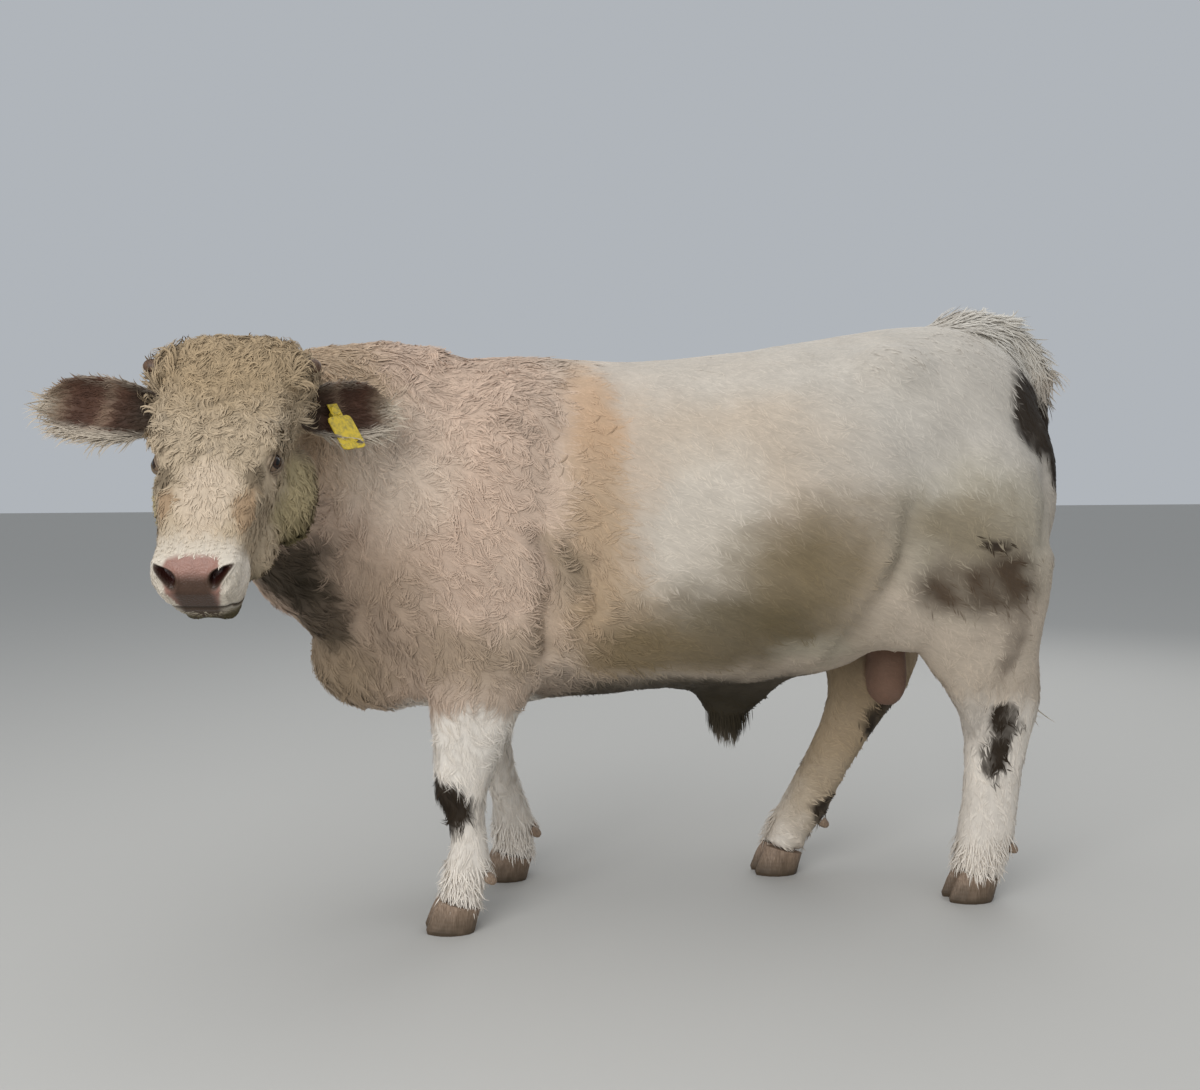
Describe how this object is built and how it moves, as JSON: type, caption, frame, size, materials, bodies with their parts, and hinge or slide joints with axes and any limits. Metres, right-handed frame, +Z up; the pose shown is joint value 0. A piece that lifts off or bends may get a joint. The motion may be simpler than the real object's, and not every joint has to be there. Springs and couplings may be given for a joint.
{
  "type": "charolais cattle",
  "caption": "Still, life-size model of a young charolais bull, standing, with its head turned to its left towards the viewer and a plain yellow tag in its left ear.",
  "frame": {"origin": "middle of the bull's bounding box, at floor level", "axes": "+Z up; the bull faces -Y, along its body's length; +X is its left side"},
  "size_m": [1.0478, 2.2926, 1.3889],
  "materials": {
    "ear_left": "soft pale hair",
    "ear_right": "soft pale hair",
    "ear_tag": "yellow moulded plastic",
    "eye_left": "wet dark brown",
    "eye_right": "wet dark brown",
    "foreleg_left_claw_inner": "dull horn",
    "foreleg_left_claw_outer": "dull horn",
    "foreleg_left_dewclaw_inner": "dull horn",
    "foreleg_left_dewclaw_outer": "dull horn",
    "foreleg_left_lower": "short white hair",
    "foreleg_left_upper": "short white hair",
    "foreleg_right_claw_inner": "dull horn",
    "foreleg_right_claw_outer": "dull horn",
    "foreleg_right_dewclaw_inner": "dull horn",
    "foreleg_right_dewclaw_outer": "dull horn",
    "foreleg_right_lower": "short white hair",
    "foreleg_right_upper": "short white hair",
    "head": "curly olive-tan hair",
    "hindleg_left_claw_inner": "dull horn",
    "hindleg_left_claw_outer": "dull horn",
    "hindleg_left_dewclaw_inner": "dull horn",
    "hindleg_left_dewclaw_outer": "dull horn",
    "hindleg_left_lower": "short white hair",
    "hindleg_left_upper": "short white hair",
    "hindleg_right_claw_inner": "dull horn",
    "hindleg_right_claw_outer": "dull horn",
    "hindleg_right_dewclaw_inner": "dull horn",
    "hindleg_right_dewclaw_outer": "dull horn",
    "hindleg_right_lower": "short white hair",
    "hindleg_right_upper": "short white hair",
    "hindquarters": "short greyish-white hair",
    "horn_left": "dull horn, darker at the tip",
    "horn_right": "dull horn, darker at the tip",
    "neck": "wavy pinkish-tan hair",
    "scrotum": "bare pink skin with fine hair",
    "sheath": "short hair with a tuft",
    "tail": "long cream hair",
    "tail_root": "long cream hair",
    "tail_switch": "long cream hair",
    "torso": "short cream hair"
  },
  "bodies": {
    "root": {"ear_left": "ear_left", "ear_right": "ear_right", "ear_tag": "ear_tag", "eye_left": "eye_left", "eye_right": "eye_right", "foreleg_left_claw_inner": "foreleg_left_claw_inner", "foreleg_left_claw_outer": "foreleg_left_claw_outer", "foreleg_left_dewclaw_inner": "foreleg_left_dewclaw_inner", "foreleg_left_dewclaw_outer": "foreleg_left_dewclaw_outer", "foreleg_left_lower": "foreleg_left_lower", "foreleg_left_upper": "foreleg_left_upper", "foreleg_right_claw_inner": "foreleg_right_claw_inner", "foreleg_right_claw_outer": "foreleg_right_claw_outer", "foreleg_right_dewclaw_inner": "foreleg_right_dewclaw_inner", "foreleg_right_dewclaw_outer": "foreleg_right_dewclaw_outer", "foreleg_right_lower": "foreleg_right_lower", "foreleg_right_upper": "foreleg_right_upper", "head": "head", "hindleg_left_claw_inner": "hindleg_left_claw_inner", "hindleg_left_claw_outer": "hindleg_left_claw_outer", "hindleg_left_dewclaw_inner": "hindleg_left_dewclaw_inner", "hindleg_left_dewclaw_outer": "hindleg_left_dewclaw_outer", "hindleg_left_lower": "hindleg_left_lower", "hindleg_left_upper": "hindleg_left_upper", "hindleg_right_claw_inner": "hindleg_right_claw_inner", "hindleg_right_claw_outer": "hindleg_right_claw_outer", "hindleg_right_dewclaw_inner": "hindleg_right_dewclaw_inner", "hindleg_right_dewclaw_outer": "hindleg_right_dewclaw_outer", "hindleg_right_lower": "hindleg_right_lower", "hindleg_right_upper": "hindleg_right_upper", "hindquarters": "hindquarters", "horn_left": "horn_left", "horn_right": "horn_right", "neck": "neck", "scrotum": "scrotum", "sheath": "sheath", "tail": "tail", "tail_root": "tail_root", "tail_switch": "tail_switch", "torso": "torso"}
  },
  "joints": []
}
